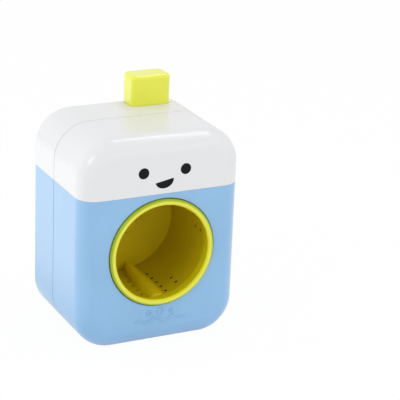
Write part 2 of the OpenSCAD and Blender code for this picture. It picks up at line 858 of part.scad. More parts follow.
module ratchet_ring() {
    root = ratchet_r + ratchet_depth;
    color(grey) at_drum() translate([0, 0, tub_back_y]) difference() {
        union() {
            cylinder(r = root + ratchet_wall, h = ratchet_t);
            at_paddles() translate([pad_ring_r, 0, 0]) cylinder(r = 2 * ratchet_wall, h = ratchet_t / 2);
        }
        translate([0, 0, -join]) linear_extrude(ratchet_t + 2 * join)
            polygon([for (k = [0 : ratchet_teeth - 1], e = [0, 1])
                let (a = (k + 0.1 * e) * 360 / ratchet_teeth, r = e == 0 ? root : ratchet_r) r * [cos(a), sin(a)]]);
        at_paddles() translate([pad_ring_r, 0, -join])
            cylinder(r = plate_screw_r + screw_gap, h = ratchet_t + 2 * join);
    }
}

module ratchet_screws() {
    length = ratchet_t / 2 + ratchet_grip;
    color(steel) at_drum() at_paddles() translate([pad_ring_r, 0, tub_back_y + ratchet_t / 2]) {
        cylinder(r = 1.8 * plate_screw_r, h = 0.75 * plate_head_h);
        translate([0, 0, -length]) cylinder(r = plate_screw_r, h = length);
    }
}

module drum_axle() {
    groove_y = clip_y - seat_gap;
    color(steel) at_drum() difference() {
        union() {
            axle_bore(0, axle_y, tub_back_y);
            translate([0, 0, tub_back_y]) cylinder(r = axle_r, h = axle_end_y - tub_back_y);
        }
        translate([0, 0, axle_y - join]) cylinder(r = screw_r + seat_gap, h = axle_screw_l + join);
        difference() {
            translate([0, 0, groove_y]) cylinder(r = axle_r + join, h = clip_t + 2 * seat_gap);
            translate([0, 0, groove_y - join]) cylinder(r = axle_r - groove, h = clip_t + 2 * join);
        }
    }
}

module drum_washer() {
    color(steel) at_drum() translate([0, 0, hub_y - washer_t]) difference() {
        cylinder(r = washer_r, h = washer_t);
        translate([0, 0, -join]) cylinder(r = screw_r + screw_gap, h = washer_t + 2 * join);
    }
}

module drum_screw() {
    color(steel) screw_y(0, drum_z, hub_y - washer_t, screw_r, 0.64 * washer_r, screw_head_h, axle_screw_l, 1);
}

module axle_clip() {
    r = axle_r - groove + seat_gap;
    color(steel) at_drum() translate([0, 0, clip_y]) difference() {
        cylinder(r = clip_r, h = clip_t);
        translate([0, 0, -join]) cylinder(r = r, h = clip_t + 2 * join);
        translate([0, -r * 0.8, -join]) cube([clip_r + join, 1.6 * r, clip_t + 2 * join]);
    }
}

// ---- Gears ----

module compound_gear() {
    hub = gear_m * (idler_teeth / 2 - 0.4);
    rim = gear_m * (wheel_teeth / 2 - 2.8);
    recess = 0.28 * wheel_t;
    color(white) difference() {
        union() {
            gear_y(wheel_teeth, idler_x, idler_z, wheel_y, wheel_end_y, mesh_turn + 180);
            gear_y(idler_teeth, idler_x, idler_z, wheel_end_y - join, rack_end_y, 180 / idler_teeth);
            bar(idler_x, idler_z, 2.2 * idler_r, plate_end_y + face_gap, wheel_y + join);
        }
        difference() {
            union() {
                bar(idler_x, idler_z, rim, wheel_y - join, wheel_y + recess);
                bar(idler_x, idler_z, rim, wheel_end_y - recess, wheel_end_y);
            }
            bar(idler_x, idler_z, hub, wheel_y - 2 * join, wheel_y + wheel_t);
            gear_y(idler_teeth, idler_x, idler_z, wheel_end_y - 2 * recess, rack_end_y, 180 / idler_teeth);
        }
        for (a = [0 : 72 : 288]) bar(idler_x + (hub + rim) / 2 * cos(a), idler_z + (hub + rim) / 2 * sin(a),
                                     (rim - hub) / 2 - gear_m, wheel_y - join, wheel_end_y + join);
        bar(idler_x, idler_z, idler_r + run_gap, plate_end_y, rack_end_y + join);
    }
}

module drive_pinion() {
    color(white) difference() {
        union() {
            gear_y(drive_teeth, 0, drum_z, wheel_y, wheel_end_y, mesh_turn + 180 / drive_teeth);
            bar(0, drum_z, drive_hub_r, pawl_end_y, wheel_y + join);
            along_y(pawl_y, pawl_end_y + join) translate([0, drum_z]) key_outline(0);
        }
        bar(0, drum_z, axle_r + run_gap, pawl_y - join, wheel_end_y + join);
    }
}

// Round key with two flats that carries the pawl disc
module key_outline(gap) {
    intersection() {
        circle(key_r + gap);
        square([2 * key_r + 2 * join, 2 * key_flat + 2 * gap], center = true);
    }
}

module pawl_disc() {
    tip = ratchet_r - pawl_gap;
    hub = key_r + post_wall;
    color(grey) translate([0, pawl_y, drum_z]) rotate([-90, 0, 0]) difference() {
        union() {
            cylinder(r = hub, h = pawl_t);
            for (k = [0 : 2]) rotate([0, 0, 120 * k]) {
                // Root, curved arm and beak of a pawl
                translate([hub - join, -pawl_arm / 2, 0]) cube([tip - pawl_arm - hub + join, pawl_arm, pawl_t]);
                rotate_extrude(angle = 80) translate([tip - 2 * pawl_arm, 0]) square([pawl_arm, pawl_t]);
                rotate([0, 0, 78]) translate([tip - 2 * pawl_arm, -pawl_arm, 0])
                    cube([1.9 * pawl_arm, pawl_arm, pawl_t]);
            }
        }
        translate([0, 0, -join]) linear_extrude(pawl_t + 2 * join) key_outline(seat_gap);
    }
}

// ---- Button ----

module button_cap() {
    h = body_h + button_out - plunger_z;
    color(lime) translate([button_x, button_y, plunger_z]) difference() {
        union() {
            difference() {
                rounded_block([button_w, button_d, h], button_corner_r, 0, button_round);
                translate([0, 0, -join])
                    rounded_block([button_w - 2 * button_wall, button_d - 2 * button_wall, h - button_wall + join],
                                  button_corner_r - button_wall, 0, button_round - button_wall);
            }
            for (x = [-1, 1]) translate([x * button_screw_x, button_screw_y - button_y, 0])
                cylinder(r = plate_screw_r + screw_gap + button_wall, h = h - button_wall / 2);
        }
        for (x = [-1, 1]) translate([x * button_screw_x, button_screw_y - button_y, -join])
            cylinder(r = plate_screw_r + screw_gap, h = button_screw_grip + 2 * join);
    }
}

// Stem and rack teeth, drawn in X and Z
module stem_outline() {
    top = plunger_z - plunger_t / 2;
    teeth_up = ceil((travel + 4 * gear_m) / pitch);
    rack_top = idler_z + (teeth_up + 0.5) * pitch;
    half = pitch / 4 - tooth_gap / 4;
    lean = tan(20);
    reach = 0.7 * gear_m;
    root = stem_x - rack_x + 0.2 * gear_m;
    translate([stem_x, foot_z]) square([stem_back_x - stem_x, top - foot_z]);
    translate([foot_x, foot_z]) square([stem_back_x - foot_x, foot_h]);
    translate([stem_back_x - stem_w, rack_top]) square([stem_w, top - rack_top]);
    for (k = [-1 : teeth_up]) translate([rack_x, idler_z + k * pitch])
        polygon([[-reach, -half + reach * lean], [-reach, half - reach * lean],
                 [root, half + root * lean], [root, -half - root * lean]]);
}

module plunger_rack() {
    color(white) difference() {
        union() {
            translate([button_x, button_y, plunger_z - plunger_t]) linear_extrude(plunger_t)
                rounded_rect(button_w + 2 * plunger_rim, button_d + 2 * plunger_rim, button_corner_r + plunger_rim);
            along_y(rack_y, rack_end_y) stem_outline();
            translate([spring_x, spring_y, foot_z - stem_spigot]) cylinder(r = spigot_r, h = stem_spigot + join);
        }
        for (x = [-1, 1]) translate([button_x + x * button_screw_x, button_screw_y, plunger_z - plunger_t - join])
            cylinder(r = plate_screw_r + screw_gap, h = plunger_t + 2 * join);
    }
}

module button_screws() {
    color(steel) for (x = [-1, 1])
        translate([button_x + x * button_screw_x, button_screw_y, plunger_z - plunger_t]) {
            translate([0, 0, -plate_head_h]) cylinder(r = 2 * plate_screw_r, h = plate_head_h);
            cylinder(r = plate_screw_r, h = plunger_t + button_screw_grip);
        }
}

// Height of the wire's middle after t turns; the first and the last turn lie closed
function coil_height(t) =
    let (closed = 2 * wire_r * 1.05, open = (spring_len - 2 * wire_r - 2 * seat_gap - 2 * closed) / (coil_n - 2))
    t < 1 ? t * closed : t > coil_n - 1 ? closed + (coil_n - 2) * open + (t - coil_n + 1) * closed
    : closed + (t - 1) * open;

module return_spring() {
    steps = 20;
    sides = 8;
    rings = coil_n * steps;
    points = [for (i = [0 : rings], j = [0 : sides - 1])
        let (a = 360 * i / steps, b = 360 * j / sides, r = coil_r + wire_r * cos(b))
        [r * cos(a), r * sin(a), coil_height(i / steps) + wire_r * sin(b)]];
    faces = concat([[for (j = [0 : sides - 1]) j]],
        [[for (j = [sides - 1 : -1 : 0]) rings * sides + j]],
        [for (i = [0 : rings - 1], j = [0 : sides - 1])
            let (n = (j + 1) % sides) [i * sides + j, (i + 1) * sides + j, (i + 1) * sides + n, i * sides + n]]);
    color(steel) translate([spring_x, spring_y, seat_z + wire_r + seat_gap]) polyhedron(points, faces);
}

front_shell();
front_cap();
rear_shell();
rear_cap();
gear_plate();
idler_axle();
rear_bush();
plate_screws();
case_screws();
drum_tub();
drum_ring();
ratchet_ring();
ratchet_screws();
drum_axle();
drum_washer();
drum_screw();
axle_clip();
button_cap();
plunger_rack();
button_screws();
return_spring();
compound_gear();
drive_pinion();
pawl_disc();
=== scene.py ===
"""Dresses the toy washing machine: mouldings, finishes, the printed face and the stage."""

import logging
import math
from dataclasses import dataclass
from enum import Enum
from typing import Callable, Iterable, Sequence

import bmesh
import bpy
import numpy as np
from mathutils import Matrix, Vector


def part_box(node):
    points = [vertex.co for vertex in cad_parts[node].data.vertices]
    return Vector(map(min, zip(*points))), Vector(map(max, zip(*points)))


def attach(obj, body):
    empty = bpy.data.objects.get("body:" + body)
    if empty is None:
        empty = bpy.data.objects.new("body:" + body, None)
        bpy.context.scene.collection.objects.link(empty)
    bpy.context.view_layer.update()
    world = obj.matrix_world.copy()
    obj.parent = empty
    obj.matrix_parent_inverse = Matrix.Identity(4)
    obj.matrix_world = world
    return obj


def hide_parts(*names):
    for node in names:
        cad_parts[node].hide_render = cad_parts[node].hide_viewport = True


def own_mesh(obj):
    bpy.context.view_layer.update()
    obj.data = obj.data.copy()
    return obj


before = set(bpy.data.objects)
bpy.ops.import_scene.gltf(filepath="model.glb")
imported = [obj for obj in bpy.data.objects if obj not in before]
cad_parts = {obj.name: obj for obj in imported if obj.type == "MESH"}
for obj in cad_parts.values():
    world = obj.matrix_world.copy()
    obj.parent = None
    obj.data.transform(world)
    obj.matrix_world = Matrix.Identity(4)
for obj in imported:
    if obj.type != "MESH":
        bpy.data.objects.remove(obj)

log = logging.getLogger("toy_washing_machine")

Triple = tuple[float, float, float]
Sockets = dict[str | int, float | Sequence[float]]

MM = 0.001
AXIS_Z = 75.0 * MM  # height of the drum's axis
TINY = 1e-9  # keeps a division away from zero
PLAIN_WHITE = (1.0, 1.0, 1.0, 1.0)


class Slot(Enum):
    """Material slots of the record that new pieces take their finish from."""

    BLUE = "blue_plastic"
    WHITE = "white_plastic"
    LIME = "lime_plastic"
    NATURAL = "natural_plastic"
    GREY = "grey_plastic"
    STEEL = "steel"
    BRONZE = "bronze"


# ---------------------------------------------------------------- finishes


class NodeBoard:
    """The nodes of one material or world, laid out from an empty board."""

    def __init__(self, owner: bpy.types.Material | bpy.types.World) -> None:
        """Clears the board.

        Args:
            owner: The material or world that the nodes belong to.
        """
        owner.use_nodes = True
        self._nodes = owner.node_tree.nodes
        self._links = owner.node_tree.links
        self._nodes.clear()

    def add(self, kind: str, values: Sockets | None = None) -> bpy.types.Node:
        """Adds a node.

        Args:
            kind: Its type, without the leading ShaderNode.
            values: What its input sockets hold, by name or number.

        Returns:
            The node.
        """
        node = self._nodes.new(f"ShaderNode{kind}")
        for socket, value in (values or {}).items():
            node.inputs[socket].default_value = value
        return node

    def work(self, operation: str, second: float | Triple | None = None,
             kind: str = "Math") -> bpy.types.Node:
        """Adds a node that works on numbers or points.

        Args:
            operation: What it does.
            second: Its second number or point, where that is fixed.
            kind: Math for numbers, VectorMath for points.

        Returns:
            The node.
        """
        node = self.add(kind, None if second is None else {1: second})
        node.operation = operation
        return node

    def ramp(self, stops: Sequence[tuple[float, Triple]]) -> bpy.types.Node:
        """Adds a colour ramp.

        Args:
            stops: The place from 0 to 1 and the colour of each stop, from low to high.

        Returns:
            The node.
        """
        node = self.add("ValToRGB")
        elements = node.color_ramp.elements
        while len(elements) < len(stops):
            elements.new(0.5)
        for element, (place, _) in zip(elements, stops):
            element.position = place
        for element, (_, colour) in zip(elements, stops):
            element.color = (*colour, 1.0)
        return node

    def link(self, *pairs: tuple[bpy.types.NodeSocket, bpy.types.NodeSocket]) -> None:
        """Joins sockets.

        Args:
            *pairs: An output and the input that it feeds.
        """
        for start, end in pairs:
            self._links.new(start, end)


@dataclass(frozen=True)
class TurnedPaintedLight:
    """Painted light and shade in rings round the drum's axis: a painted highlight on a crest, and
    painted shade on walls and in holes.

    Attributes:
        axis_z: Height of the axis.
        bands: Radius and tint of each ring, from the axis outwards; the tints are painted
            highlight and painted shade.
        front: The depth at which the radii hold.
        lean: How much a ring widens for each metre behind that depth.
    """

    axis_z: float
    bands: tuple[tuple[float, Triple], ...]
    front: float = 0.0
    lean: float = 0.0

    def tint(self, board: NodeBoard, place: bpy.types.NodeSocket,
             base: bpy.types.NodeSocket) -> bpy.types.NodeSocket:
        """Multiplies a colour by the painted light and shade of the ring that it lies in.

        Args:
            board: The board of the material.
            place: Object coordinates.
            base: The colour before the tint.

        Returns:
            The tinted colour.
        """
        low, high = self.bands[0][0], self.bands[-1][0]
        shift = board.work("SUBTRACT", (0.0, self.front, self.axis_z), "VectorMath")
        across = board.work("MULTIPLY", (1.0, 0.0, 1.0), "VectorMath")
        length = board.work("LENGTH", kind="VectorMath")
        depth = board.add("SeparateXYZ")
        radius = board.work("MULTIPLY_ADD", -self.lean)
        share = board.add("MapRange", {"From Min": low, "From Max": high})
        rings = board.ramp([((reach - low) / (high - low), tint) for reach, tint in self.bands])
        mix = board.add("Mix")
        mix.data_type = "RGBA"
        mix.blend_type = "MULTIPLY"
        mix.inputs["Factor"].default_value = 1.0
        board.link((place, shift.inputs[0]),
                   (shift.outputs["Vector"], across.inputs[0]),
                   (shift.outputs["Vector"], depth.inputs["Vector"]),
                   (across.outputs["Vector"], length.inputs[0]),
                   (depth.outputs["Y"], radius.inputs[0]),
                   (length.outputs["Value"], radius.inputs[2]),
                   (radius.outputs["Value"], share.inputs["Value"]),
                   (share.outputs["Result"], rings.inputs["Fac"]),
                   (base, mix.inputs["A"]),
                   (rings.outputs["Color"], mix.inputs["B"]))
        return mix.outputs["Result"]


@dataclass(frozen=True)
class MouldedPlastic:
    """Injection-moulded plastic with a faint colour drift, uneven gloss and a fine skin texture.

    Attributes:
        name: Name of the material.
        colour: Its colour, linear.
        roughness: Middle of its roughness.
        gloss_drift: How much the roughness differs over the surface.
        colour_drift: Share by which the colour gets darker and paler.
        drift_scale: Scale of both drifts.
        drift_detail: Fineness of both drifts.
        drift_span: Where in the noise the darkest and the palest colour are reached.
        skin_scale: Scale of the moulded skin.
        skin_detail: Fineness of the moulded skin.
        skin_depth: Height of the skin's relief.
        skin_strength: How strongly the relief shows.
        ior: Refraction of the plastic.
        specular: Strength of its plain reflection.
        coat: Weight of the polished surface over it.
        coat_roughness: Roughness of that surface.
        glow_through: Share of the light that spreads inside the wall.
        glow_reach: How far red, green and blue spread.
        bands: Rings of painted highlight and painted shade, if the piece turns round the drum's
            axis and has any.
    """

    name: str
    colour: Triple
    roughness: float = 0.3
    gloss_drift: float = 0.06
    colour_drift: float = 0.03
    drift_scale: float = 18.0
    drift_detail: float = 2.0
    drift_span: tuple[float, float] = (0.3, 0.7)
    skin_scale: float = 900.0
    skin_detail: float = 3.0
    skin_depth: float = 0.02 * MM
    skin_strength: float = 0.25
    ior: float = 1.49
    specular: float = 0.5
    coat: float = 0.0
    coat_roughness: float = 0.25
    glow_through: float = 0.0
    glow_reach: Triple = (4.0 * MM, 4.0 * MM, 2.0 * MM)
    bands: TurnedPaintedLight | None = None

    def build(self) -> bpy.types.Material:
        """Builds the node material.

        Returns:
            The finished material.
        """
        material = bpy.data.materials.new(self.name)
        board = NodeBoard(material)
        shader = board.add("BsdfPrincipled", {
            "IOR": self.ior, "Specular IOR Level": self.specular,
            "Coat Weight": self.coat, "Coat Roughness": self.coat_roughness})
        if self.glow_through > 0.0:
            shader.inputs["Subsurface Weight"].default_value = self.glow_through
            shader.inputs["Subsurface Radius"].default_value = self.glow_reach
            shader.inputs["Subsurface Scale"].default_value = 1.0
        place = board.add("TexCoord").outputs["Object"]
        drift = board.add("TexNoise", {"Scale": self.drift_scale, "Detail": self.drift_detail})
        darker = tuple(max(0.0, part * (1.0 - self.colour_drift)) for part in self.colour)
        paler = tuple(min(1.0, part * (1.0 + self.colour_drift)) for part in self.colour)
        tint = board.ramp(tuple(zip(self.drift_span, (darker, paler))))
        gloss = board.add("MapRange", {"To Min": self.roughness - self.gloss_drift / 2,
                                       "To Max": self.roughness + self.gloss_drift / 2})
        skin = board.add("TexNoise", {"Scale": self.skin_scale, "Detail": self.skin_detail})
        bump = board.add("Bump", {"Strength": self.skin_strength, "Distance": self.skin_depth})
        paint = tint.outputs["Color"]
        # Rings of painted highlight and painted shade go over the colour of turned pieces.
        if self.bands is not None:
            paint = self.bands.tint(board, place, paint)
        board.link((place, drift.inputs["Vector"]),
                   (place, skin.inputs["Vector"]),
                   (drift.outputs["Fac"], tint.inputs["Fac"]),
                   (paint, shader.inputs["Base Color"]),
                   (drift.outputs["Fac"], gloss.inputs["Value"]),
                   (gloss.outputs["Result"], shader.inputs["Roughness"]),
                   (skin.outputs["Fac"], bump.inputs["Height"]),
                   (bump.outputs["Normal"], shader.inputs["Normal"]),
                   (shader.outputs["BSDF"], board.add("OutputMaterial").inputs["Surface"]))
        return material


@dataclass(frozen=True)
class PlatedMetal:
    """Turned or pressed metal with fine tool marks.

    Attributes:
        name: Name of the material.
        colour: Its colour between the marks, linear.
        roughness: Its usual roughness.
        smoother: How far the smoothest marks fall below that.
        rougher: How far the roughest marks rise above it.
        mark_scale: Scale of the marks.
        mark_detail: Fineness of the marks.
        mark_depth: Depth of the marks.
        mark_strength: How strongly the depth shows.
        mark_shade: Share of the colour that is left in the marks.
    """

    name: str
    colour: Triple
    roughness: float = 0.28
    smoother: float = 0.08
    rougher: float = 0.12
    mark_scale: float = 1400.0
    mark_detail: float = 4.0
    mark_depth: float = 0.02 * MM
    mark_strength: float = 0.2
    mark_shade: float = 0.88

    def build(self) -> bpy.types.Material:
        """Builds the node material.

        Returns:
            The finished material.
        """
        material = bpy.data.materials.new(self.name)
        board = NodeBoard(material)
        shader = board.add("BsdfPrincipled", {"Metallic": 1.0})
        place = board.add("TexCoord").outputs["Object"]
        marks = board.add("TexNoise", {"Scale": self.mark_scale, "Detail": self.mark_detail})
        gloss = board.add("MapRange", {"To Min": self.roughness - self.smoother,
                                       "To Max": self.roughness + self.rougher})
        shade = tuple(part * self.mark_shade for part in self.colour)
        tint = board.ramp(((0.0, shade), (1.0, self.colour)))
        bump = board.add("Bump", {"Strength": self.mark_strength, "Distance": self.mark_depth})
        board.link((place, marks.inputs["Vector"]),
                   (marks.outputs["Fac"], gloss.inputs["Value"]),
                   (gloss.outputs["Result"], shader.inputs["Roughness"]),
                   (marks.outputs["Fac"], tint.inputs["Fac"]),
                   (tint.outputs["Color"], shader.inputs["Base Color"]),
                   (marks.outputs["Fac"], bump.inputs["Height"]),
                   (bump.outputs["Normal"], shader.inputs["Normal"]),
                   (shader.outputs["BSDF"], board.add("OutputMaterial").inputs["Surface"]))
        return material


FINISHES = {
    Slot.BLUE: MouldedPlastic(
        "blue_moulding", (0.242, 0.468, 0.740), roughness=0.32, coat=1.0),
    Slot.WHITE: MouldedPlastic(
        "white_moulding", (0.765, 0.765, 0.773), roughness=0.35, colour_drift=0.01,
        coat=0.5, coat_roughness=0.15, specular=0.25),
    Slot.LIME: MouldedPlastic(
        "lime_moulding", (0.800, 0.820, 0.045), roughness=0.32, coat=0.8, glow_through=0.1),
    Slot.NATURAL: MouldedPlastic("milky_moulding", (0.780, 0.770, 0.720), roughness=0.42),
    Slot.GREY: MouldedPlastic("grey_moulding", (0.420, 0.440, 0.470), roughness=0.48),
    Slot.STEEL: PlatedMetal("zinc_plated_steel", (0.62, 0.63, 0.65)),
    Slot.BRONZE: PlatedMetal("sintered_bronze", (0.50, 0.34, 0.17), roughness=0.45),
}

# Painted light on the ring: the crest keeps the full colour as a painted highlight, the inner
# wall is painted a deeper yellow as shade, and the outer slope is painted olive green as shade
# and as a painted reflection of the blue case.
RING_PAINTED_LIGHT = TurnedPaintedLight(AXIS_Z, front=-53.2 * MM, lean=0.2, bands=(
    (37.5 * MM, (0.96, 0.91, 0.05)),
    (39.0 * MM, (0.98, 0.96, 0.25)),
    (39.6 * MM, (1.00, 1.00, 1.00)),
    (40.3 * MM, (0.98, 1.00, 0.85)),
    (40.9 * MM, (0.72, 0.82, 0.12)),
    (41.7 * MM, (0.42, 0.56, 0.00))))
RING_FINISH_PAINTED_LIGHT = MouldedPlastic(
    "yellow_ring_painted_light", (0.780, 0.760, 0.120), roughness=0.28, coat=0.3, specular=0.35,
    glow_through=0.15, bands=RING_PAINTED_LIGHT)

# Painted shade in the drum: the wall is painted darker than the paddles, which stand out as if
# lit, and the drain holes and the tub's outside are painted nearly black.
TUB_PAINTED_SHADE = TurnedPaintedLight(AXIS_Z, bands=(
    (41.0 * MM, (1.00, 1.00, 1.00)),
    (41.8 * MM, (0.78, 0.77, 0.77)),
    (42.2 * MM, (0.78, 0.77, 0.77)),
    (42.5 * MM, (0.10, 0.08, 0.06))))
# The tub's yellow is deeper and darker than the ring's: partly its own hue, partly painted shade
# for the dim inside of the drum.
TUB_FINISH_PAINTED_SHADE = MouldedPlastic(
    "yellow_tub_painted_shade", (0.745, 0.585, 0.004), roughness=0.5, specular=0.25, bands=TUB_PAINTED_SHADE)

INK = MouldedPlastic(
    "black_print", (0.005, 0.005, 0.006), roughness=0.45, colour_drift=0.2,
    skin_scale=1500.0, specular=0.15)

CAD_NODES = {
    Slot.GREY: ("gear_plate", "ratchet_ring", "pawl_disc"),
    Slot.NATURAL: ("plunger_rack", "compound_gear", "drive_pinion"),
    Slot.BRONZE: ("rear_bush",),
    Slot.STEEL: ("idler_axle", "plate_screws", "case_screws", "ratchet_screws", "drum_axle",
                 "axle_clip", "button_screws"),
}


class Paintbox:
    """Builds each finish once and hands it to the pieces that wear it."""

    def __init__(self) -> None:
        """Starts with no finish built."""
        self._built: dict[str, bpy.types.Material] = {}

    def dress(self, piece: bpy.types.Object, finish: MouldedPlastic | PlatedMetal) -> None:
        """Gives a piece one finish all over.

        Args:
            piece: The mesh object.
            finish: The finish that it gets, whose material is built the first time.
        """
        if finish.name not in self._built:
            self._built[finish.name] = finish.build()
        piece.data.materials.clear()
        piece.data.materials.append(self._built[finish.name])


# ---------------------------------------------------------------- the bench


class Bench:
    """Edit-mode work on one object at a time."""

    @staticmethod
    def clear() -> None:
        """Leaves edit mode and deselects everything."""
        if bpy.context.object and bpy.context.object.mode != "OBJECT":
            bpy.ops.object.mode_set(mode="OBJECT")
        bpy.ops.object.select_all(action="DESELECT")

    @staticmethod
    def take(piece: bpy.types.Object) -> None:
        """Makes a piece the only selected and active one.

        Args:
            piece: The object to work on.
        """
        Bench.clear()
        piece.select_set(True)
        bpy.context.view_layer.objects.active = piece

    @staticmethod
    def edit(piece: bpy.types.Object, mode: str, action: str = "DESELECT") -> None:
        """Takes a piece into edit mode.

        Args:
            piece: The object to edit.
            mode: VERT, EDGE or FACE.
            action: SELECT to start with all of it selected, DESELECT with nothing.
        """
        Bench.take(piece)
        bpy.ops.object.mode_set(mode="EDIT")
        bpy.ops.mesh.select_mode(type=mode)
        bpy.ops.mesh.select_all(action=action)

    @staticmethod
    def select_verts(piece: bpy.types.Object, test: Callable[[bmesh.types.BMVert], bool]) -> None:
        """Selects the vertices that pass a test, and the edges and faces between them.

        Args:
            piece: The object in edit mode.
            test: Says whether a vertex is wanted.
        """
        mesh = bmesh.from_edit_mesh(piece.data)
        for vert in mesh.verts:
            vert.select_set(test(vert))
        mesh.select_flush_mode()
        bmesh.update_edit_mesh(piece.data)

    @staticmethod
    def select_edges(piece: bpy.types.Object, test: Callable[[bmesh.types.BMEdge], bool]) -> int:
        """Selects the edges that pass a test.

        Args:
            piece: The object in edit mode.
            test: Says whether an edge is wanted.

        Returns:
            How many edges were selected.
        """
        mesh = bmesh.from_edit_mesh(piece.data)
        chosen = [edge for edge in mesh.edges if test(edge)]
        for edge in chosen:
            edge.select_set(True)
        bmesh.update_edit_mesh(piece.data)
        return len(chosen)

    @staticmethod
    def face_outwards() -> None:
        """Turns all faces of the piece in edit mode outwards and leaves edit mode."""
        bpy.ops.mesh.select_all(action="SELECT")
        bpy.ops.mesh.normals_make_consistent(inside=False)
        bpy.ops.object.mode_set(mode="OBJECT")

    @staticmethod
    def smooth(piece: bpy.types.Object, angle: float) -> None:
        """Shades a piece smooth up to an angle, and leaves it selected and active.

        Args:
            piece: The object to shade.
            angle: Edges sharper than this many degrees stay sharp.
        """
        Bench.take(piece)
        bpy.ops.object.shade_smooth_by_angle(angle=math.radians(angle))


# ---------------------------------------------------------------- true normals of moulded shapes


def dots(first: np.ndarray, second: np.ndarray) -> np.ndarray:
    """Multiplies two lists of vectors, row by row.

    Args:
        first: Vectors, one a row.
        second: As many vectors.

    Returns:
        The dot product of each pair.
    """
    return (first * second).sum(axis=1)


@dataclass(frozen=True)
class TurnedShape:
    """Normals of a shape that is turned round an axis along Y, such as the drum and its ring.

    Attributes:
        axis_z: Height of the axis.
        least: What lies nearer the axis than this belongs to other shapes.
        lean_limit: Normals that lean sideways by more than this belong to other shapes.
        level_limit: Normals that point along the axis by less than this are made square to it.
        wall_facing: Faces that point at or from the axis by more than this are walls.
    """

    axis_z: float
    least: float = 0.5 * MM
    lean_limit: float = 0.12
    level_limit: float = 0.06
    wall_facing: float = 0.99

    def correct(self, points: np.ndarray, normals: np.ndarray, faces: np.ndarray) -> np.ndarray:
        """Takes the sideways lean out of normals that nearly pass through the axis.

        Args:
            points: Places of the face corners.
            normals: Their normals as shaded.
            faces: The normals of their faces.

        Returns:
            The corrected normals.
        """
        out = points.copy()
        out[:, 1] = 0.0
        out[:, 2] -= self.axis_z
        length = np.linalg.norm(out, axis=1, keepdims=True)
        out /= np.maximum(length, TINY)
        along = normals[:, 1:2] * np.array([[0.0, 1.0, 0.0]])
        turned = dots(normals, out)[:, None] * out + along
        lean = np.linalg.norm(normals - turned, axis=1)
        turned[np.abs(normals[:, 1]) < self.level_limit, 1] = 0.0
        turned /= np.maximum(np.linalg.norm(turned, axis=1, keepdims=True), TINY)
        near = length[:, 0] < self.least
        other = (lean > self.lean_limit) | near
        turned[other] = normals[other]
        facing = dots(faces, out)
        wall = (np.abs(facing) > self.wall_facing) & ~near
        turned[wall] = np.sign(facing[wall])[:, None] * out[wall]
        return turned


@dataclass(frozen=True)
class RoundedCase:
    """Normals of the case's outer skin: rounded corners with filleted front and rear edges.

    Attributes:
        low: Lowest corner of the block.
        high: Highest corner of the block.
        corner: Radius of the four corners seen from the front.
        front: Radius of the front edge.
        rear: Radius of the rear edge.
        skin: What lies within this of the exact skin lies on it.
        shaded_match: How closely a shaded normal of the skin follows the exact one.
        face_match: How closely the normal of a face does.
        flat_match: How closely a flat end points forwards or backwards.
    """

    low: Vector
    high: Vector
    corner: float
    front: float
    rear: float
    skin: float = 0.03 * MM
    shaded_match: float = 0.975
    face_match: float = 0.985
    flat_match: float = 0.999

    def correct(self, points: np.ndarray, normals: np.ndarray, faces: np.ndarray) -> np.ndarray:
        """Gives face corners on the outer skin the exact normal of the skin.

        Args:
            points: Places of the face corners.
            normals: Their normals as shaded.
            faces: The normals of their faces.

        Returns:
            The corrected normals.
        """
        side, depth = self._sideways(points)
        gaps = (points[:, 1] - self.low[1], self.high[1] - points[:, 1])
        edges = ((gaps[0], self.front, -1.0), (gaps[1], self.rear, 1.0))
        result = normals.copy()
        for gap, radius, sign in edges:
            out = np.clip(radius - depth, 0.0, None)
            along = np.clip(radius - gap, 0.0, None)
            size = np.hypot(out, along)
            fillet = (np.abs(size - radius) < self.skin) & (gap < radius) & (depth < radius)
            true = side * (out / np.maximum(size, TINY))[:, None]
            true[:, 1] = sign * along / np.maximum(size, TINY)
            close = fillet & self._match(true, normals, faces)
            result[close] = true[close]
        wall = (np.abs(depth) < self.skin) & (gaps[0] >= self.front) & (gaps[1] >= self.rear)
        close = wall & self._match(side, normals, faces)
        result[close] = side[close]
        for gap, _, sign in edges:
            flat = (np.abs(gap) < self.skin) & (sign * faces[:, 1] > self.flat_match)
            result[flat] = (0.0, sign, 0.0)
        return result

    def _sideways(self, points: np.ndarray) -> tuple[np.ndarray, np.ndarray]:
        """Measures points against the outline that the case has from the front.

        Args:
            points: Places of the face corners.

        Returns:
            The outline's normal beside each point, and the point's depth under the outline.
        """
        half_x = (self.high[0] - self.low[0]) / 2 - self.corner
        half_z = (self.high[2] - self.low[2]) / 2 - self.corner
        x = points[:, 0] - (self.high[0] + self.low[0]) / 2
        z = points[:, 2] - (self.high[2] + self.low[2]) / 2
        over_x = np.maximum(np.abs(x) - half_x, 0.0) * np.sign(x)
        over_z = np.maximum(np.abs(z) - half_z, 0.0) * np.sign(z)
        reach = np.hypot(over_x, over_z)
        safe = np.maximum(reach, TINY)
        side = np.stack([over_x / safe, np.zeros_like(x), over_z / safe], axis=1)
        return side, self.corner - reach

    def _match(self, true: np.ndarray, normals: np.ndarray, faces: np.ndarray) -> np.ndarray:
        """Says where the shaded normal or the face is already close to the exact normal.

        Args:
            true: The exact normals.
            normals: The normals as shaded.
            faces: The normals of the faces.

        Returns:
            True for each corner that belongs to the skin.
        """
        return (dots(true, normals) > self.shaded_match) | (dots(true, faces) > self.face_match)


# ---------------------------------------------------------------- smooth copies of CAD mouldings

WELD = 0.004 * MM  # points that are nearer to each other become one
LEVEL = 0.01 * MM  # what is nearer to a plane lies in it
FLAT_DEGREES = 0.05  # triangles that fold less become one face
SHARP_DEGREES = 40.0  # edges that fold more are rounded


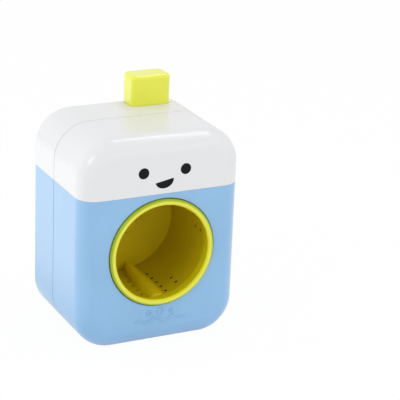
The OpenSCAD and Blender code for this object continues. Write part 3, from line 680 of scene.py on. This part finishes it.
@dataclass
class Moulding:
    """A moulding in its CAD shape, with joined triangles, opened seams and smooth curves.

    Attributes:
        node: The CAD node that it replaces.
        body: The body that it rides on.
        slot: Material slot of the record; not used.
        finish: What it wears.
        angle: Edges sharper than this many degrees stay sharp.
        shape: The exact shape that its curved faces were cut from, where it helps.
        part_y: Depth of the mating face and how far it draws back, where it has one.
        break_z: Height at which the lower and the upper mouldings meet, where it ends there.
        edge_round: Width of the rounding along both.
        suffix: What follows the node's name in the name of the piece.
    """

    node: str
    body: str
    slot: Slot
    finish: MouldedPlastic | PlatedMetal
    angle: float = 32.0
    shape: TurnedShape | RoundedCase | None = None
    part_y: tuple[float, float] | None = None
    break_z: float | None = None
    edge_round: float = 0.16 * MM
    suffix: str = "moulding"

    def build(self, paints: Paintbox) -> bpy.types.Object:
        """Copies the node, joins its triangles, works its edges and dresses it.

        Args:
            paints: Where the finish comes from.

        Returns:
            The finished piece.
        """
        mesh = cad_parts[self.node].data.copy()
        piece = bpy.data.objects.new(f"{self.node}_{self.suffix}", mesh)
        bpy.context.scene.collection.objects.link(piece)
        Bench.edit(piece, "VERT", "SELECT")
        bpy.ops.mesh.remove_doubles(threshold=WELD)
        bpy.ops.mesh.dissolve_limited(angle_limit=math.radians(FLAT_DEGREES))
        bpy.ops.mesh.select_all(action="DESELECT")
        if self.part_y is not None:
            self._open_parting_line(piece, *self.part_y)
        if self.break_z is not None:
            self._round_edges(piece, 2, self.break_z)
        bpy.ops.object.mode_set(mode="OBJECT")
        Bench.smooth(piece, self.angle)
        weighted = piece.modifiers.new("face_weights", "WEIGHTED_NORMAL")
        weighted.keep_sharp = True
        weighted.weight = 100
        bpy.ops.object.modifier_apply(modifier=weighted.name)
        if self.shape is not None:
            self._true_normals(piece)
        paints.dress(piece, self.finish)
        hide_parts(self.node)
        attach(piece, self.body)
        log.info("%s: %d faces", piece.name, len(piece.data.polygons))
        return piece

    def _round_edges(self, piece: bpy.types.Object, axis: int, place: float) -> None:
        """Rounds the sharp edges that lie in a plane, as a mould's parting edges are.

        Args:
            piece: The object in edit mode.
            axis: Axis that the plane is square to.
            place: Where the plane lies on that axis.
        """
        bpy.ops.mesh.select_mode(type="EDGE")

        def sharp_in_plane(edge: bmesh.types.BMEdge) -> bool:
            """Says whether a sharp edge lies in the plane."""
            level = all(abs(vert.co[axis] - place) < LEVEL for vert in edge.verts)
            angle = edge.calc_face_angle(0.0) if len(edge.link_faces) == 2 else 0.0
            return level and angle > math.radians(SHARP_DEGREES)

        if Bench.select_edges(piece, sharp_in_plane):
            bpy.ops.mesh.bevel(offset=self.edge_round, segments=2, affect="EDGES",
                               clamp_overlap=True)
        bpy.ops.mesh.select_all(action="DESELECT")

    def _open_parting_line(self, piece: bpy.types.Object, place: float, move: float) -> None:
        """Draws the mating face back, which leaves the thin dark line between two mouldings.

        Args:
            piece: The object in edit mode.
            place: Depth of the mating face.
            move: How far it moves, towards +Y where positive.
        """
        bpy.ops.mesh.select_mode(type="VERT")
        Bench.select_verts(piece, lambda vert: abs(vert.co.y - place) < LEVEL)
        bpy.ops.transform.translate(value=(0.0, move, 0.0))
        bpy.ops.mesh.select_all(action="DESELECT")
        self._round_edges(piece, 1, place + move)

    def _true_normals(self, piece: bpy.types.Object) -> None:
        """Gives the smooth faces the exact normals of the shape that they were cut from.

        Args:
            piece: The finished mesh.
        """
        mesh = piece.data
        normals = self._read(mesh.corner_normals, "vector", 3)
        points = self._read(mesh.vertices, "co", 3)[self._read(mesh.loops, "vertex_index", 1)]
        faces = np.repeat(self._read(mesh.polygons, "normal", 3),
                          self._read(mesh.polygons, "loop_total", 1), axis=0)
        true = self.shape.correct(points, normals, faces)
        mesh.normals_split_custom_set([tuple(normal) for normal in true])

    @staticmethod
    def _read(items: bpy.types.bpy_prop_collection, name: str, width: int) -> np.ndarray:
        """Reads one property of all items of a mesh.

        Args:
            items: The corners, vertices or faces.
            name: The property.
            width: 3 for a vector, 1 for a whole number.

        Returns:
            One row an item for vectors, else a flat list of whole numbers.
        """
        values = np.empty(len(items) * width, dtype=np.float32 if width > 1 else np.int32)
        items.foreach_get(name, values)
        return values.reshape(-1, width).astype(np.float64) if width > 1 else values


@dataclass
class Case:
    """The four mouldings of the body."""

    corner: float = 28.0 * MM
    front_edge: float = 14.5 * MM
    rear_edge: float = 10.5 * MM
    parting_gap: float = 0.45 * MM

    def build(self, paints: Paintbox) -> None:
        """Builds the two blue mouldings and the two white caps.

        Args:
            paints: Where the finishes come from.
        """
        low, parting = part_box("front_shell")
        high = Vector((parting[0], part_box("rear_cap")[1][1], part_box("front_cap")[1][2]))
        shape = RoundedCase(Vector(low), high, self.corner, self.front_edge, self.rear_edge)
        for node, slot, side in (("front_shell", Slot.BLUE, -1), ("front_cap", Slot.WHITE, -1),
                                 ("rear_shell", Slot.BLUE, 1), ("rear_cap", Slot.WHITE, 1)):
            Moulding(node, "case", slot, FINISHES[slot], shape=shape, break_z=parting[2],
                     part_y=(parting[1], side * self.parting_gap / 2)).build(paints)


@dataclass
class Drum:
    """The perforated tub and the ring at its mouth."""

    axis_z: float = AXIS_Z
    wall_r: float = 42.0 * MM
    wall_margin: float = 0.1 * MM

    def build(self, paints: Paintbox) -> None:
        """Builds the tub and the ring, and dresses the hub's fastening in the tub's colour,
        painted shade included.

        Args:
            paints: Where the finishes come from.
        """
        wall = TurnedShape(self.axis_z, least=self.wall_r - self.wall_margin)
        ring = TurnedShape(self.axis_z)
        Moulding("drum_tub", "drum", Slot.LIME, TUB_FINISH_PAINTED_SHADE, shape=wall).build(paints)
        Moulding("drum_ring", "drum", Slot.LIME, RING_FINISH_PAINTED_LIGHT, shape=ring).build(paints)
        for node in ("drum_washer", "drum_screw"):
            paints.dress(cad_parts[node], TUB_FINISH_PAINTED_SHADE)
            log.info("%s: in the tub's colour", node)


@dataclass
class Button:
    """The push button on top."""

    def build(self, paints: Paintbox) -> None:
        """Builds the cap of the button.

        Args:
            paints: Where the finish comes from.
        """
        Moulding("button_cap", "button", Slot.LIME, FINISHES[Slot.LIME]).build(paints)


@dataclass
class Drive:
    """The pieces inside, in the finish of their material, and the return spring."""

    travel: float = 16.0 * MM

    def build(self, paints: Paintbox) -> None:
        """Dresses the inner pieces and makes a smooth copy of the return spring with a mesh of
        its own.

        Args:
            paints: Where the finishes come from.
        """
        for slot, nodes in CAD_NODES.items():
            for node in nodes:
                paints.dress(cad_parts[node], FINISHES[slot])
                log.info("%s: %s", node, slot.value)
        coils = Moulding("return_spring", "case", Slot.STEEL, FINISHES[Slot.STEEL],
                         suffix="coils").build(paints)
        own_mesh(coils)


# ---------------------------------------------------------------- the printed face


@dataclass
class PrintedFace:
    """Two round eyes and an open smile, printed on the front of the cap.

    Attributes:
        front: Depth of the surface that carries the print.
        middle: Middle of the face, to the right.
        eye_x: From the middle to an eye.
        eye_z: Height of the eyes.
        eye_r: Radius of an eye.
        mouth_z: Height of the smile's straight edge.
        mouth_r: Half the width of the smile.
        mouth_drop: Depth of the smile, downwards.
        mouth_turn: Tilt of the smile in degrees.
        lip_round: Rounding of its two corners.
        sides: Corners of each disc.
        film: Thickness of the ink and width of its soft edge.
        film_angle: Edges sharper than this many degrees stay sharp.
    """

    front: float
    middle: float = 0.3 * MM
    eye_x: float = 17.0 * MM
    eye_z: float = 139.2 * MM
    eye_r: float = 4.25 * MM
    mouth_z: float = 131.9 * MM
    mouth_r: float = 7.4 * MM
    mouth_drop: float = 6.0 * MM
    mouth_turn: float = 10.8
    lip_round: float = 0.35 * MM
    sides: int = 72
    film: float = 0.05 * MM
    film_angle: float = 30.0

    def build(self, paints: Paintbox) -> None:
        """Makes the three prints and puts them on the case.

        Args:
            paints: Where the ink comes from.
        """
        for name, side in (("eye_left", -1.0), ("eye_right", 1.0)):
            x = self.middle + side * self.eye_x
            self._finish(self._disc(name, x, self.eye_z, self.eye_r, self.eye_r), paints)
        self._finish(self._mouth(), paints)

    def _disc(self, name: str, x: float, z: float, rx: float, rz: float) -> bpy.types.Object:
        """Starts a print as a flat disc on the front, facing the viewer.

        Args:
            name: Name of the piece.
            x: Middle, to the right.
            z: Middle, up.
            rx: Half its width.
            rz: Half its height.

        Returns:
            The disc.
        """
        Bench.clear()
        bpy.ops.mesh.primitive_circle_add(
            vertices=self.sides, radius=1.0, fill_type="NGON", location=(x, self.front, z),
            rotation=(math.pi / 2, 0.0, 0.0))
        piece = bpy.context.object
        piece.name = name
        piece.scale = (rx, rz, 1.0)
        bpy.ops.object.transform_apply(location=True, rotation=True, scale=True)
        return piece

    def _mouth(self) -> bpy.types.Object:
        """Cuts a disc to the smile's half moon, softens its two corners and tilts it.

        Returns:
            The mouth.
        """
        x, z = self.middle, self.mouth_z
        piece = self._disc("smile", x, z, self.mouth_r, self.mouth_drop)
        Bench.edit(piece, "VERT", "SELECT")
        cut = z - LEVEL
        bpy.ops.mesh.bisect(plane_co=(x, self.front, cut), plane_no=(0.0, 0.0, 1.0),
                            clear_outer=True)
        bpy.ops.mesh.select_all(action="DESELECT")
        Bench.select_verts(piece, lambda vert: vert.co.z > cut - LEVEL)
        bpy.ops.mesh.bevel(offset=self.lip_round, segments=4, affect="VERTICES")
        bpy.ops.mesh.select_all(action="DESELECT")
        bpy.ops.object.mode_set(mode="OBJECT")
        tilt = Matrix.Rotation(math.radians(-self.mouth_turn), 4, "Y")
        turn = Matrix.Translation((x, 0.0, z)) @ tilt
        piece.data.transform(turn @ Matrix.Translation((-x, 0.0, -z)))
        return piece

    def _finish(self, piece: bpy.types.Object, paints: Paintbox) -> None:
        """Gives a print the thickness of its film, with a soft edge, and dresses it.

        Args:
            piece: The flat print.
            paints: Where the ink comes from.
        """
        Bench.edit(piece, "FACE", "SELECT")
        bpy.ops.mesh.extrude_region_move(
            TRANSFORM_OT_translate={"value": (0.0, -self.film, 0.0)})
        bpy.ops.mesh.inset(thickness=self.film, depth=0.0)
        Bench.face_outwards()
        Bench.smooth(piece, self.film_angle)
        paints.dress(piece, INK)
        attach(piece, "case")
        log.info("print %s", piece.name)


# ---------------------------------------------------------------- the relief under the drum


@dataclass
class WaterRelief:
    """A raised ripple with three bubbles over it, moulded on the front under the drum.

    Attributes:
        front: Depth of the surface that carries the relief.
        middle_z: Height of the ripple.
        half_width: Half the width of the ripple.
        swing: Height of a wave over the middle of the ripple.
        waves: How many waves there are.
        wave_steps: Steps of the line in one wave.
        swing_fade: How fast the swing grows from each end.
        rib: Radius of the rib.
        rib_tip: Share of that radius at each end.
        rib_taper: How fast the rib grows from each end.
        proud: How far the rib stands out.
        bubbles: Place to the right, place above the ripple and radius of each bubble, in mm.
        bubble_rib: Share of the rib's radius in a bubble.
        bubble_sides: Corners of a bubble's section.
        bubble_steps: Steps of a bubble's ring.
        bubble_weld: Points of a bubble that are nearer to each other become one.
        smooth_angle: Edges sharper than this many degrees stay sharp.
    """

    front: float
    middle_z: float = 20.6 * MM
    half_width: float = 22.0 * MM
    swing: float = 1.6 * MM
    waves: int = 3
    wave_steps: int = 24
    swing_fade: float = 6.0
    rib: float = 0.8 * MM
    rib_tip: float = 0.35
    rib_taper: float = 8.0
    proud: float = 0.9 * MM
    bubbles: tuple[Triple, ...] = ((-9.0, 5.8, 1.7), (0.5, 6.4, 2.4), (9.5, 5.6, 1.5))
    bubble_rib: float = 0.85
    bubble_sides: int = 12
    bubble_steps: int = 40
    bubble_weld: float = 0.002 * MM
    smooth_angle: float = 50.0

    def build(self, paints: Paintbox) -> None:
        """Moulds the ripple and the bubbles and puts them on the case.

        Args:
            paints: Where the finish comes from.
        """
        pieces = [self._ripple()]
        pieces += [self._bubble(x * MM, self.middle_z + z * MM, r * MM)
                   for x, z, r in self.bubbles]
        Bench.clear()
        for piece in pieces:
            piece.select_set(True)
        bpy.context.view_layer.objects.active = pieces[0]
        bpy.ops.object.join()
        relief = bpy.context.object
        relief.name = "water_relief"
        depth = Matrix.Diagonal((1.0, self.proud / self.rib, 1.0, 1.0))
        relief.data.transform(Matrix.Translation((0.0, self.front, 0.0)) @ depth)
        Bench.edit(relief, "FACE")
        Bench.face_outwards()
        Bench.smooth(relief, self.smooth_angle)
        paints.dress(relief, FINISHES[Slot.BLUE])
        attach(relief, "case")
        log.info("relief: %d faces", len(relief.data.polygons))

    def _ripple(self) -> bpy.types.Object:
        """Draws a round rib along a ripple line, tapered at both ends.

        Returns:
            The ripple as a mesh.
        """
        steps = self.wave_steps * self.waves
        curve = bpy.data.curves.new("ripple", "CURVE")
        curve.dimensions = "3D"
        curve.bevel_depth = self.rib
        curve.bevel_resolution = 3
        curve.use_fill_caps = True
        line = curve.splines.new("POLY")
        line.points.add(steps)
        for index, point in enumerate(line.points):
            share = index / steps
            end = min(share, 1.0 - share)
            swing = self.swing * min(1.0, self.swing_fade * end)
            x = self.half_width * (2.0 * share - 1.0)
            z = self.middle_z + swing * math.sin(2.0 * math.pi * self.waves * share)
            point.co = (x, 0.0, z, 1.0)
            point.radius = min(1.0, self.rib_tip + self.rib_taper * end)
        piece = bpy.data.objects.new("ripple", curve)
        bpy.context.scene.collection.objects.link(piece)
        Bench.take(piece)
        bpy.ops.object.convert(target="MESH")
        return bpy.context.object

    def _bubble(self, x: float, z: float, radius: float) -> bpy.types.Object:
        """Spins the round section of a rib into a ring.

        Args:
            x: Middle of the bubble, to the right.
            z: Middle of the bubble, up.
            radius: Radius of the ring, to the middle of its rib.

        Returns:
            The ring.
        """
        Bench.clear()
        bpy.ops.mesh.primitive_circle_add(
            vertices=self.bubble_sides, radius=self.rib * self.bubble_rib, fill_type="NOTHING",
            location=(x + radius, 0.0, z))
        piece = bpy.context.object
        bpy.ops.object.transform_apply(location=True, rotation=True, scale=True)
        Bench.edit(piece, "VERT", "SELECT")
        bpy.ops.mesh.spin(steps=self.bubble_steps, angle=2.0 * math.pi, center=(x, 0.0, z),
                          axis=(0.0, 1.0, 0.0))
        bpy.ops.mesh.select_all(action="SELECT")
        bpy.ops.mesh.remove_doubles(threshold=self.bubble_weld)
        bpy.ops.object.mode_set(mode="OBJECT")
        return piece


# ---------------------------------------------------------------- stage


@dataclass(frozen=True)
class Lamp:
    """A soft rectangular lamp.

    Attributes:
        name: Name of the lamp.
        place: Where it hangs.
        aim: The point that it faces.
        size: Width and height of its face.
        power: Its power in watts.
        mirrored: Whether glossy surfaces show it.
        card: Whether glossy surfaces show it and it does nothing else.
        colour: Colour of its light.
    """

    name: str
    place: Triple
    aim: Triple
    size: tuple[float, float]
    power: float
    mirrored: bool = True
    card: bool = False
    colour: Triple = (1.0, 0.985, 0.95)

    def hang(self) -> None:
        """Hangs the lamp in the scene."""
        data = bpy.data.lights.new(self.name, "AREA")
        data.shape = "RECTANGLE"
        data.size, data.size_y = self.size
        data.energy = self.power
        data.color = self.colour
        lamp = bpy.data.objects.new(self.name, data)
        bpy.context.scene.collection.objects.link(lamp)
        lamp.visible_glossy = self.mirrored
        lamp.visible_camera = lamp.visible_diffuse = not self.card
        turn = (Vector(self.aim) - Vector(self.place)).to_track_quat("-Z", "Y")
        lamp.matrix_world = Matrix.Translation(self.place) @ turn.to_matrix().to_4x4()


MIDDLE = (0.0, 0.0, 0.09)
UPPER_HALF = (0.0, 0.0, 0.12)
LAMPS = (
    Lamp("left_window", place=(-0.98, 0.62, 0.42), aim=MIDDLE, size=(1.0, 0.9), power=4.35,
         mirrored=False),
    Lamp("left_card", place=(-0.45, 0.28, 0.004), aim=(-0.45, 0.28, 1.0), size=(0.7, 0.9),
         power=0.55, card=True),
    Lamp("front_softbox", place=(0.62, -0.98, 0.60), aim=MIDDLE, size=(0.9, 0.45), power=3.4,
         mirrored=False),
    Lamp("top_softbox", place=(0.50, 0.12, 1.15), aim=UPPER_HALF, size=(0.9, 0.11), power=1.7),
    Lamp("corner_card", place=(-0.95, -0.38, 0.82), aim=UPPER_HALF, size=(0.42, 0.48),
         power=2.7),
)


@dataclass
class Studio:
    """Pale floor, soft light and the camera.

    Attributes:
        azimuth: Where the camera stands round the object, in degrees, 0 in front of it.
        elevation: How high it stands, in degrees.
        roll: How far it is turned about its line of sight, in degrees.
        distance: From the camera to its target.
        lens: Focal length in millimetres.
        target: The point in the middle of the view.
        floor_size: Side of the floor.
        floor_drop: Gap between the object and the floor.
        floor_colour: Colour that the floor's shadows fall on.
        floor_seen: Share of plain white in the floor as the camera sees it.
        floor_mirrored: Share of plain white in the floor as glossy surfaces show it.
        air_colour: Colour of the even light from all sides.
        air_strength: Strength of that light.
    """

    azimuth: float = -27.18
    elevation: float = 20.44
    roll: float = 2.45
    distance: float = 1.30587
    lens: float = 150.05
    target: Triple = (0.05625, 0.0, 0.09141)
    floor_size: float = 8.0
    floor_drop: float = 0.05 * MM
    floor_colour: Triple = (0.95, 0.95, 0.95)
    floor_seen: float = 0.96
    floor_mirrored: float = 0.3
    air_colour: Triple = (0.95, 0.97, 1.0)
    air_strength: float = 0.7

    def build(self) -> None:
        """Builds the floor, the world, the lamps and the camera."""
        self._floor()
        self._world()
        for lamp in LAMPS:
            lamp.hang()
        self._camera()
        bpy.context.scene.view_settings.view_transform = "Standard"

    def _floor(self) -> None:
        """Lays a pale floor that keeps the object's shadow."""
        Bench.clear()
        bpy.ops.mesh.primitive_plane_add(size=self.floor_size,
                                         location=(0.0, 0.0, -self.floor_drop))
        floor = bpy.context.object
        floor.name = "floor"
        Bench.edit(floor, "VERT", "SELECT")
        bpy.ops.mesh.subdivide(number_cuts=3)
        bpy.ops.object.mode_set(mode="OBJECT")
        material = bpy.data.materials.new("pale_floor")
        board = NodeBoard(material)
        paint = board.add("BsdfDiffuse", {"Color": (*self.floor_colour, 1.0)})
        light = board.add("Emission", {"Color": PLAIN_WHITE})
        path = board.add("LightPath")
        seen = board.work("MULTIPLY", self.floor_seen)
        mirrored = board.work("MULTIPLY", self.floor_mirrored)
        share = board.work("MAXIMUM")
        mix = board.add("MixShader")
        board.link((path.outputs["Is Camera Ray"], seen.inputs[0]),
                   (path.outputs["Is Glossy Ray"], mirrored.inputs[0]),
                   (seen.outputs["Value"], share.inputs[0]),
                   (mirrored.outputs["Value"], share.inputs[1]),
                   (share.outputs["Value"], mix.inputs["Fac"]),
                   (paint.outputs["BSDF"], mix.inputs[1]),
                   (light.outputs["Emission"], mix.inputs[2]),
                   (mix.outputs["Shader"], board.add("OutputMaterial").inputs["Surface"]))
        floor.data.materials.append(material)

    def _world(self) -> None:
        """Fills the shadows evenly and shows white behind the object."""
        world = bpy.data.worlds.new("studio_air")
        bpy.context.scene.world = world
        board = NodeBoard(world)
        fill = board.add("Background", {"Color": (*self.air_colour, 1.0),
                                        "Strength": self.air_strength})
        white = board.add("Background", {"Color": PLAIN_WHITE, "Strength": 1.0})
        path = board.add("LightPath")
        seen = board.work("MAXIMUM")
        mix = board.add("MixShader")
        board.link((path.outputs["Is Camera Ray"], seen.inputs[0]),
                   (path.outputs["Is Glossy Ray"], seen.inputs[1]),
                   (seen.outputs["Value"], mix.inputs["Fac"]),
                   (fill.outputs["Background"], mix.inputs[1]),
                   (white.outputs["Background"], mix.inputs[2]),
                   (mix.outputs["Shader"], board.add("OutputWorld").inputs["Surface"]))

    def _camera(self) -> None:
        """Sets the camera by its azimuth, elevation, roll and distance."""
        azimuth, elevation, roll = map(math.radians, (self.azimuth, self.elevation, self.roll))
        level = math.cos(elevation)
        back = Vector((math.sin(azimuth) * level, -math.cos(azimuth) * level,
                       math.sin(elevation)))
        right = (-back).cross(Vector((0.0, 0.0, 1.0))).normalized()
        up = right.cross(-back)
        turned_right = right * math.cos(roll) + up * math.sin(roll)
        turned_up = up * math.cos(roll) - right * math.sin(roll)
        turn = Matrix((turned_right, turned_up, back)).transposed().to_4x4()
        data = bpy.data.cameras.new("camera")
        data.sensor_width = 36.0
        data.lens = self.lens
        data.clip_start = 0.01
        camera = bpy.data.objects.new("camera", data)
        bpy.context.scene.collection.objects.link(camera)
        place = Vector(self.target) + back * self.distance
        camera.matrix_world = Matrix.Translation(place) @ turn
        bpy.context.scene.camera = camera


# ---------------------------------------------------------------- assembly


def main() -> None:
    """Builds the pieces in order."""
    logging.basicConfig(level=logging.INFO, format="%(name)s: %(message)s")
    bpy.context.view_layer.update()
    Studio().build()
    paints = Paintbox()
    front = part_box("front_cap")[0][1]
    Case().build(paints)
    Drum().build(paints)
    Button().build(paints)
    Drive().build(paints)
    PrintedFace(front).build(paints)
    WaterRelief(front).build(paints)


if __name__ == "__main__":
    main()
